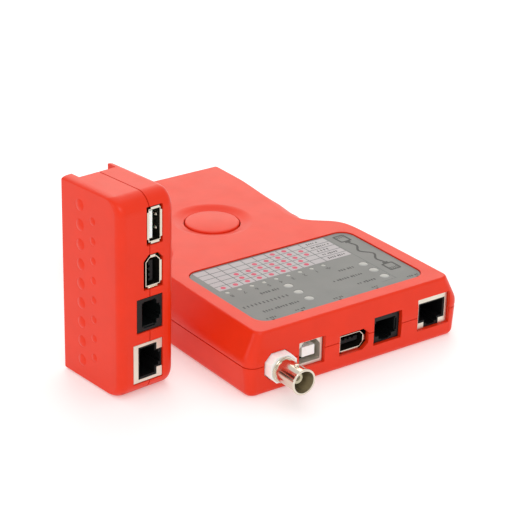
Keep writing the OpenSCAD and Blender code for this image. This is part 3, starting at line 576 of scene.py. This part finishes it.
# ----------------------------------------------------------------- label panel
LZ = T - 0.5  # printed face of the label
panel_cut = [revolve("cut", [(0, LZ - 1), (1.0, LZ - 1), (1.0, LZ + 1), (0, LZ + 1)], 32, at=(x, LED_Y, 0)) for x in LED_X]
panel_cut += [revolve("cut", [(0, LZ - 1), (2.0, LZ - 1), (2.0, LZ + 1), (0, LZ + 1)], 40, at=(x, y, 0)) for x in ST_X for y in ST_Y]
panel = loft("label_sheet", [[(x, y, z) for x, y in rr(LABEL[0], LABEL[1], LABEL[2] - g, LABEL[3] - g, 5.8 - g / 2, 12)]
                             for z, g in ((LZ - 0.4, 0), (LZ - 0.06, 0), (LZ - 0.02, 0.04), (LZ, 0.12))])
boolean(panel, panel_cut)
tidy(panel)
shade(panel, 30)
weighted(panel)
place(panel, "main_unit", "film", "label_film", "label_panel")

INK = 0.025


def cal(x, y):
    """label coordinates measured from the connector end's left corner."""
    return x - 42.3, y - 76.0


def rect_ink(x0, x1, y0, y1, h=INK, base=0.0):
    a, b = cal(x0, y0), cal(x1, y1)
    return prism([(a[0], a[1]), (b[0], a[1]), (b[0], b[1]), (a[0], b[1])], LZ + base, LZ + base + h)


TX0, TX1, TY0, TY1 = 4.7, 70.7, 40.6, 60.0
COL = [TX0 + 5.9 * i for i in range(10)] + [TX1]
ROW = [TY0 + (TY1 - TY0) * i / 5 for i in range(6)]
table = merge("label_table", [rect_ink(TX0, TX1, TY0, TY1)])
place(table, "main_unit", "white_ink", "label_film")
LW = 0.2
lines = [rect_ink(x - LW, x + LW, TY0, TY1, 0.012, INK) for x in COL[1:-1]]
lines += [rect_ink(a + LW, b - LW, y - LW, y + LW, 0.012, INK) for y in ROW[1:-1] for a, b in zip([TX0 - LW] + COL[1:], COL[1:-1] + [TX1 + LW])]
lines += [rect_ink(71.3, 71.6, 12.5, 60.5, 0.02), rect_ink(64.5, 71.3, 12.5, 12.75, 0.02)]
place(merge("label_lines", lines), "main_unit", "grey_ink", "label_film")
dots = []
for row, cols in enumerate(([0, 1, 2, 3, 4, 5, 6, 7], [2, 3, 4, 5, 6, 7], [2, 3, 4, 5, 6, 7, 8], [4, 5, 6, 7, 8], [6, 7])):
    for c in cols:
        x, y = cal((COL[c] + COL[c + 1]) / 2, (ROW[row] + ROW[row + 1]) / 2)
        dots.append(prism(disc(x, y, 1.12, 28), LZ + INK, LZ + INK + 0.014))
place(merge("label_dots", dots), "main_unit", "red_ink", "label_film")

# numbers beside the wire lights: 1 to 8, read from the tail side, and an earth symbol
glyphs = []
for i, text in enumerate("87654321"):
    cu = bpy.data.curves.new("num", "FONT")
    cu.body = text
    cu.size = 2.9 * MM
    cu.extrude = 0.01 * MM
    cu.align_x, cu.align_y = "CENTER", "CENTER"
    ob = bpy.data.objects.new("num", cu)
    SC.collection.objects.link(ob)
    ob.rotation_euler = (0, 0, math.pi)
    ob.location = (LED_X[i] * MM, (LED_Y - 3.3) * MM, (LZ + 0.011) * MM)
    bpy.context.view_layer.update()
    me = bpy.data.meshes.new_from_object(ob.evaluated_get(bpy.context.evaluated_depsgraph_get()))
    me.transform(ob.matrix_world)
    bpy.data.objects.remove(ob)
    bpy.data.curves.remove(cu)
    glyphs.append(([tuple(v.co / MM) for v in me.vertices], [tuple(p.vertices) for p in me.polygons]))
    bpy.data.meshes.remove(me)
gx, gy = LED_X[8], LED_Y - 3.3
for k, w in enumerate((2.4, 1.5, 0.7)):
    glyphs.append(box_part(gx - w / 2, gx + w / 2, gy + 0.2 - 0.55 * k - 0.12, gy + 0.2 - 0.55 * k + 0.12, LZ, LZ + 0.02))
glyphs.append(box_part(gx - 0.12, gx + 0.12, gy + 0.33, gy + 1.2, LZ, LZ + 0.02))
place(merge("label_numbers", glyphs), "main_unit", "dark_ink", "label_film")


def greek(x0, x1, y, h, step, seedv, base=0.0):
    """A row of plain ticks standing for a word: no letters."""
    out, x, k = [], x0, seedv
    while x < x1 - step * 0.4:
        k = (k * 7 + 3) % 11
        hh = h * (0.62 + 0.38 * ((k % 3) / 2))
        wd = step * (0.46 + 0.2 * ((k % 4) / 3))
        a, b = cal(x, y), 0
        out.append(box_part(a[0], a[0] + wd, a[1] - hh / 2, a[1] + hh / 2, LZ + base, LZ + base + 0.016))
        x += step * (1.0 if k % 5 else 1.5)
    return out


marks = []
for x0, x1, y, s in ((17.0, 26.0, 30.2, 3), (3.8, 26.0, 23.3, 5), (8.4, 26.0, 16.4, 7), (56.0, 63.8, 30.2, 2), (48.0, 63.8, 23.3, 9), (54.8, 63.8, 16.4, 4)):
    marks += greek(x0, x1, y, 1.7, 1.25, s)
for x0, x1, s in ((5.6, 10.6, 1), (19.4, 24.2, 4), (38.2, 42.6, 6), (57.4, 61.6, 8), (75.6, 82.0, 2)):
    marks += greek(x0, x1, 10.6, 1.3, 1.1, s)
for x0, x1, r in ((60.2, 69.4, 0), (60.2, 68.6, 1), (60.6, 67.0, 2), (60.2, 69.2, 3), (60.6, 66.2, 4)):
    marks += greek(x0, x1, (ROW[r] + ROW[r + 1]) / 2, 1.5, 1.05, 3 + r, INK)
place(merge("label_ticks", marks), "main_unit", "dark_ink", "label_film")
tri = []
for x in (7.7, 21.6, 40.2, 58.8, 79.6):
    a = cal(x, 8.55)
    tri.append(prism([(a[0] - 0.75, a[1] + 0.75), (a[0], a[1] - 0.45), (a[0] + 0.75, a[1] + 0.75)], LZ, LZ + 0.02))
place(merge("label_arrows", tri), "main_unit", "black_ink", "label_film")

# pictogram along the side: a plug, a cable and a second plug
pic = []


def ring_prism(outer, inner):
    n = len(outer)
    v = [(x, y, LZ) for x, y in outer] + [(x, y, LZ) for x, y in inner]
    v += [(x, y, LZ + 0.018) for x, y in outer] + [(x, y, LZ + 0.018) for x, y in inner]
    f = []
    for i in range(n):
        j = (i + 1) % n
        f += [(i, j, n + j, n + i), (2 * n + i, 3 * n + i, 3 * n + j, 2 * n + j), (i, 2 * n + i, 2 * n + j, j), (n + i, n + j, 3 * n + j, 3 * n + i)]
    return v, f


def plug(cx, cy, s):
    a = cal(cx, cy)
    o, i = rr(a[0], a[1], 5.8, 6.8, 0.9, 5), rr(a[0], a[1], 4.0, 5.0, 0.5, 5)
    parts = [ring_prism(o, i)]
    for k in range(4):
        x = a[0] - 1.5 + k * 1.0
        parts.append(box_part(x - 0.22, x + 0.22, a[1] + s * 0.7, a[1] + s * 2.2, LZ, LZ + 0.018))
    parts.append(box_part(a[0] - 1.3, a[0] + 1.3, a[1] - s * 3.3 - s * 1.3 if s > 0 else a[1] + 3.3, a[1] - 3.3 if s > 0 else a[1] + 3.3 + 1.3, LZ, LZ + 0.018))
    return parts


pic += plug(77.2, 55.2, 1) + plug(77.2, 22.6, -1)
N_W = 72
cable_l, cable_r = [], []
for k in range(N_W + 1):
    t = k / N_W
    y = 50.6 - (50.6 - 27.2) * t
    env = math.sin(math.pi * t)
    x = 77.2 + 1.9 * env * math.sin(2 * math.pi * 2.0 * t)
    dx = (1.9 * env * math.cos(4 * math.pi * t) * 4 * math.pi + 1.9 * math.pi * math.cos(math.pi * t) * math.sin(4 * math.pi * t))
    dy = -(50.6 - 27.2)
    d = math.hypot(dx, dy)
    nx, ny = -dy / d * 0.5, dx / d * 0.5
    a = cal(x, y)
    cable_l.append((a[0] + nx, a[1] + ny))
    cable_r.append((a[0] - nx, a[1] - ny))
v = [(x, y, LZ) for x, y in cable_l + cable_r] + [(x, y, LZ + 0.018) for x, y in cable_l + cable_r]
n = N_W + 1
f = []
for k in range(N_W):
    f += [(k, k + 1, n + k + 1, n + k), (2 * n + k, 3 * n + k, 3 * n + k + 1, 2 * n + k + 1), (k, 2 * n + k, 2 * n + k + 1, k + 1), (n + k, n + k + 1, 3 * n + k + 1, 3 * n + k)]
f += [(0, n, 3 * n, 2 * n), (N_W, 2 * n + N_W, 3 * n + N_W, n + N_W)]
pic.append((v, f))
place(merge("label_pictogram", pic), "main_unit", "dark_ink", "label_film")

# lamps: domed diffused lenses that come up flush with the label
small = [revolve("w", [(0, 21.7), (1.9, 21.7), (1.9, 22.4), (1.5, 22.5), (1.5, 24.7), (1.35, 25.2), (0.97, 25.55), (0.97, 25.9), (0.85, 25.98), (0.45, 26.03), (0, 26.05)], 40, at=(x, LED_Y, 0)) for x in LED_X]
big = [revolve("w", [(0, 21.7), (2.9, 21.7), (2.9, 22.4), (2.5, 22.5), (2.5, 24.4), (2.3, 25.1), (1.96, 25.5), (1.96, 25.9), (1.8, 26.0), (1.2, 26.1), (0.6, 26.15), (0, 26.16)], 48, at=(x, y, 0)) for x in ST_X for y in ST_Y]


def join(name, obs):
    me = bpy.data.meshes.new(name)
    bm = bmesh.new()
    for o in obs:
        bm.from_mesh(o.data)
    bm.to_mesh(me)
    bm.free()
    ob = bpy.data.objects.new(name, me)
    SC.collection.objects.link(ob)
    remove(obs)
    return ob


place(shade(join("wire_lamps", small), 40), "main_unit", "lens_small", "led_lens", "wire_leds")
place(shade(join("status_lamps", big), 40), "main_unit", "lens", "led_lens", "status_leds")

# ---------------------------------------------------------------- remote unit
TURN = math.radians(4.6)
RT, RD, RH = 25.6, 36.7, 81.6
HU = RT / 2
REM = Matrix.Translation((-0.0807, -0.0500, 0)) @ Matrix.Rotation(TURN, 4, "Z")


def on_remote(ob):
    ob.data.transform(REM)
    return ob


def rem_ring(u, f, e, na=12):
    r = 7 - f * 0.4
    y0, y1, z0 = f, RD - e * 0.3, e
    za, zb = RH - e, RH - 0.9 - e
    out = []
    for j in range(na + 1):
        a = math.radians(90 * j / na)
        out.append((u, y0 + r - r * math.cos(a), za - r + r * math.sin(a)))
    out += [(u, y1 - 0.4, zb), (u, y1 - 0.12, zb - 0.12), (u, y1, zb - 0.4), (u, y1, z0 + 0.4), (u, y1 - 0.12, z0 + 0.12), (u, y1 - 0.4, z0)]
    for j in range(na + 1):
        a = math.radians(90 * j / na)
        out.append((u, y0 + r - r * math.sin(a), z0 + r - r * math.cos(a)))
    return out


def arc(s, rf, re, steps=10):
    a = [90.0 * j / steps for j in range(steps + 1)]
    if s < 0:
        a = a[::-1]
    return [(s * (HU - 3.6 + 3.6 * math.sin(math.radians(x))), rf * (1 - math.cos(math.radians(x))), re * (1 - math.cos(math.radians(x)))) for x in a]


UP = 1.0
rem_up = loft("remote_upper", [rem_ring(*l) for l in arc(-1, 3.6, 1.0) + [(UP - 0.25, 0, 0), (UP - 0.18, 0.06, 0.06), (UP - 0.16, 0.75, 0.75), (UP - 0.01, 0.8, 0.8)]])
rem_lo = loft("remote_lower", [rem_ring(*l) for l in [(UP + 0.01, 0.8, 0.8), (UP + 0.16, 0.75, 0.75), (UP + 0.18, 0.06, 0.06), (UP + 0.25, 0, 0)] + arc(1, 3.2, 3.2)])


def side_opening(outline, edge=0.22, y1=6.0):
    """outline in (u, w); the cutter runs in from the connector face with a small flare."""
    cu = sum(p[0] for p in outline) / len(outline)
    cw = sum(p[1] for p in outline) / len(outline)
    rings = []
    for y, g in ((-2.0, 2.2), (edge, 0.0), (y1, 0.0)):
        ring = []
        for u, w in outline:
            du, dw = u - cu, w - cw
            d = math.hypot(du, dw)
            ring.append((u + g * du / d * 1.3, y, w + g * dw / d * 1.3))
        rings.append(ring)
    return loft("cut", rings)


W45, W11, WFW, WUS = 13.6, 33.4, 50.7, 69.1
RSC = [(24, 24.5), (24, 60.2)]


def remote_cutters(which):
    c = 0.3
    out = [
        side_opening(rect2(7.05 - 13.5 - c, 7.15, W45 - 8 - c, W45 + 8 + c)),
        side_opening(rect2(7.05 - 11.8 - c, 7.15, W11 - 6.75 - c, W11 + 6.75 + c)),
        side_opening([(7.05 - z, WFW + x) for x, z in [(-7.1, -0.1), (4.6, -0.1), (6.9, 2), (6.9, 6.5), (4.6, 8.8), (-7.1, 8.8)]]),
        side_opening(rect2(7.05 - 7.1 - c, 7.15, WUS - 7.4 - c, WUS + 7.4 + c)),
    ]
    v, f = box_part(-8.1, 9.0, RD - 5.3, RD + 5, -1, RH + 1)
    ch = new_object("cut", v, f)
    fix_normals(ch)
    out.append(ch)
    u0, u1 = (-HU + 2, UP + 1) if which < 0 else (UP - 1, HU - 2)
    v, f = box_part(u0, u1, 2, RD - 5.3 - 2, 2, RH - 3)
    ca = new_object("cut", v, f)
    fix_normals(ca)
    out.append(ca)
    return out


cut = remote_cutters(-1)


def nub(w, y, rim, height):
    """A low raised dome on the broad face at u = -HU, with a small fillet at its foot."""
    big = (rim * rim + height * height) / (2 * height)
    prof = [(0, -height)]
    for k in range(1, 15):
        a = math.asin(rim / big) * k / 14
        prof.append((big * math.sin(a), big - height - big * math.cos(a)))
    prof += [(rim + 0.12, 0.03), (rim + 0.12, 1.0), (0, 1.0)]
    return revolve("nub", prof, 56, axis="x", at=(-HU, y, w))


boolean(rem_up, cut)
nubs = [nub(8.4 + 8.07 * i, 24.9, 2.42, 0.74) for i in range(9)] + [nub(12.45 + 8.07 * i, 16.9, 1.62, 0.54) for i in range(8)]
boolean(rem_up, nubs, "UNION")
cut = remote_cutters(1)
for y, w in RSC:
    cut.append(revolve("cut", [(0, 9.8), (3.1, 9.8), (3.1, HU - 0.3), (3.5, HU + 0.4), (3.5, HU + 2), (0, HU + 2)], 48, axis="x", at=(0, y, w)))
boolean(rem_lo, cut)
for o, name in ((rem_up, "remote_upper_shell"), (rem_lo, "remote_lower_shell")):
    tidy(o)
    on_remote(o)
    shade(o, 26)
    weighted(o)
    place(o, "remote_unit", "red", "red_abs", name)

# the two spring bumps inside the flat USB jack, on the wall across from its tongue
bumps = [revolve("bump", [(0, -0.5), (0.35, -0.45), (0.65, -0.28), (0.85, -0.08), (0.92, 0), (0.92, 0.15), (0, 0.15)], 32,
                 axis="x", at=(6.0, 3.4, 69.1 + s)) for s in (-2.75, 2.75)]
bumps = on_remote(join("usb_spring_bumps", bumps))
place(shade(bumps, 40), "remote_unit", "nickel", "plated_steel")

# ------------------------------------------------------- carried-over CAD parts
dress("battery_door", "red", 0.2)
dress("switch_plunger", "white", 0.2)
dress("tact_switch", "black", 0.2)
for n_ in ("main_pcb", "display_pcb", "remote_pcb"):
    dress(n_, "board", 0.1)
for n_ in ("board_header", "board_components", "remote_components"):
    dress(n_, "black", 0.12)
dress("bnc_body", "white", 1.1, 4)
barrel = revolve("bnc_socket", [(4.4, -92.62), (4.46, -92.74), (4.6, -92.8), (5.02, -92.8), (5.2, -92.74), (5.32, -92.6), (5.35, -92.4), (5.32, -92.2), (5.2, -92.1), (4.83, -92.1),
                                (4.83, -80.74), (4.9, -80.7), (5.3, -80.7), (5.4, -80.6), (5.4, -80.0), (5.32, -79.9), (4.83, -79.9), (4.83, -70.1), (1.3, -70.1), (1.3, -70.9), (4.4, -70.9)],
                 96, axis="y", at=(X_BNC, 0, Z_BNC))
lugs = []
for s_ in (1, -1):
    lug = revolve("lug", [(0, 4.3), (1.0, 4.3), (1.0, 5.45), (0.94, 5.6), (0.8, 5.68), (0, 5.7)], 32, at=(0, 0, 0))
    if s_ < 0:
        lug.data.transform(Matrix.Rotation(math.pi, 4, "Y"))
    lug.data.transform(Matrix.Translation((X_BNC * MM, -87.8 * MM, Z_BNC * MM)))
    lugs.append(lug)
boolean(barrel, lugs, "UNION")
tidy(barrel)
shade(barrel, 40)
place(barrel, "main_unit", "nickel", "plated_steel", "bnc_barrel")
barrel.data.materials.append(M["olive"])
for p_ in barrel.data.polygons:
    c_ = p_.center / MM
    if c_.y > -92.5 and math.hypot(c_.x - X_BNC, c_.z - Z_BNC) < 4.5:
        p_.material_index = 1
dress("bnc_dielectric", "cream", 0.15)
dress("bnc_contact", "shaded_gold_pin", 0.05)
dress("usb_b_shell", "satin", 0.12)
dress("usb_b_insert", "white", 0.15)
dress("firewire_shell", "nickel", 0.08)
# painted shade on the deep insides of this shell
inside("firewire_shell", "inside_shade", (0, JY, 0), (0, 1, 0), 0.7)
dress("firewire_insert", "black", 0.1)
dress("rj11_housing", "charcoal", 0.12)
dress("rj11_contacts", "gold", 0.04, 1)
dress("rj45_shield", "tin", 0.06)
dress("rj45_housing", "black", 0.1)
dress("rj45_contacts", "gold", 0.04, 1)
dress("battery_9v", "wrap", 0.3)
dress("battery_snap", "black", 0.3)
dress("battery_leads", "pvc")
dress("case_screws", "zinc", 0.05)
dress("remote_usb_shell", "nickel", 0.08)
RIN = (-math.sin(TURN), math.cos(TURN), 0)
RFACE = REM @ Vector((0, 0.5 * MM, 0)) / MM
# painted shade on the deep insides of the remote's two plated shells
inside("remote_usb_shell", "inside_shade", RFACE, RIN, 0.7)
dress("remote_usb_insert", "white", 0.1)
dress("remote_firewire_shell", "nickel", 0.08)
inside("remote_firewire_shell", "inside_shade", RFACE, RIN, 0.7)
dress("remote_firewire_insert", "black", 0.1)
dress("remote_rj11_housing", "charcoal", 0.12)
dress("remote_rj11_contacts", "gold", 0.04, 1)
dress("remote_rj45_shield", "tin", 0.06)
dress("remote_rj45_housing", "black", 0.1)
dress("remote_rj45_contacts", "gold", 0.04, 1)
dress("remote_screws", "zinc", 0.05)

# ----------------------------------------------------------------- the studio
floor_me = bpy.data.meshes.new("studio_floor")
S = 6.0
floor_me.from_pydata([(-S, -S, 0), (S, -S, 0), (S, S, 0), (-S, S, 0)], [], [(0, 1, 2, 3)])
floor = bpy.data.objects.new("studio_floor", floor_me)
SC.collection.objects.link(floor)
fm = bpy.data.materials.new("floor_white")
fm.use_nodes = True
fb = fm.node_tree.nodes["Principled BSDF"] if "Principled BSDF" in fm.node_tree.nodes else fm.node_tree.nodes[0]
fb.inputs["Base Color"].default_value = (0.8, 0.8, 0.8, 1)
fb.inputs["Roughness"].default_value = 0.6
fb.inputs["Emission Color"].default_value = (1.0, 0.99, 0.97, 1)
fb.inputs["Emission Strength"].default_value = 0.27
floor.data.materials.append(fm)

world = bpy.data.worlds.new("studio")
SC.world = world
world.use_nodes = True
bg = world.node_tree.nodes["Background"] if "Background" in world.node_tree.nodes else world.node_tree.nodes.new("ShaderNodeBackground")
bg.inputs["Color"].default_value = (1, 1, 1, 1)
bg.inputs["Strength"].default_value = 0.8


def area(name, loc, target, size, power, size_y=None):
    ld = bpy.data.lights.new(name, "AREA")
    ld.shape = "RECTANGLE"
    ld.size = size
    ld.size_y = size_y or size
    ld.energy = power
    ob = bpy.data.objects.new(name, ld)
    SC.collection.objects.link(ob)
    ob.location = loc
    ob.rotation_mode = "QUATERNION"
    ob.rotation_quaternion = (Vector(target) - Vector(loc)).to_track_quat("-Z", "Y")
    return ob


area("key_softbox", (0.15, 0.2, 1.3), (0, 0, 0), 1.1, 3.0)
area("front_softbox", (-0.62, -1.05, 0.95), (-0.02, -0.02, 0.03), 0.55, 3.6)
area("left_strip", (-1.2, 0.12, 0.36), (-0.08, -0.04, 0.045), 0.3, 0.85)
back = area("back_softbox", (0.75, 1.05, 0.72), (0, 0, 0.02), 1.0, 4.2)
back.data.color = (1.0, 0.87, 0.74)

# ----------------------------------------------------------------- the camera
cam = bpy.data.cameras.new("camera")
cam.sensor_width = 36
cam.sensor_fit = "AUTO"
cam.lens = 1945.15 / 512 * 36
cam.clip_start, cam.clip_end = 0.05, 30
camo = bpy.data.objects.new("camera", cam)
SC.collection.objects.link(camo)
AZ, EL, RO = math.radians(36.31), math.radians(24.19), math.radians(1.30)
aim = Vector((-math.sin(AZ) * math.cos(EL), -math.cos(AZ) * math.cos(EL), math.sin(EL)))
fwd = -aim
right = fwd.cross(Vector((0, 0, 1))).normalized()
up = right.cross(fwd)
r2 = math.cos(RO) * right + math.sin(RO) * up
u2 = -math.sin(RO) * right + math.cos(RO) * up
tgt = Vector((0.0577 - 0.0423, 0.08924 - 0.076, 0.010))
pos = tgt + aim * 0.83708
camo.matrix_world = Matrix(((r2.x, u2.x, aim.x, pos.x), (r2.y, u2.y, aim.y, pos.y), (r2.z, u2.z, aim.z, pos.z), (0, 0, 0, 1)))
SC.camera = camo
SC.view_settings.view_transform = "Standard"
SC.view_settings.look = "None"
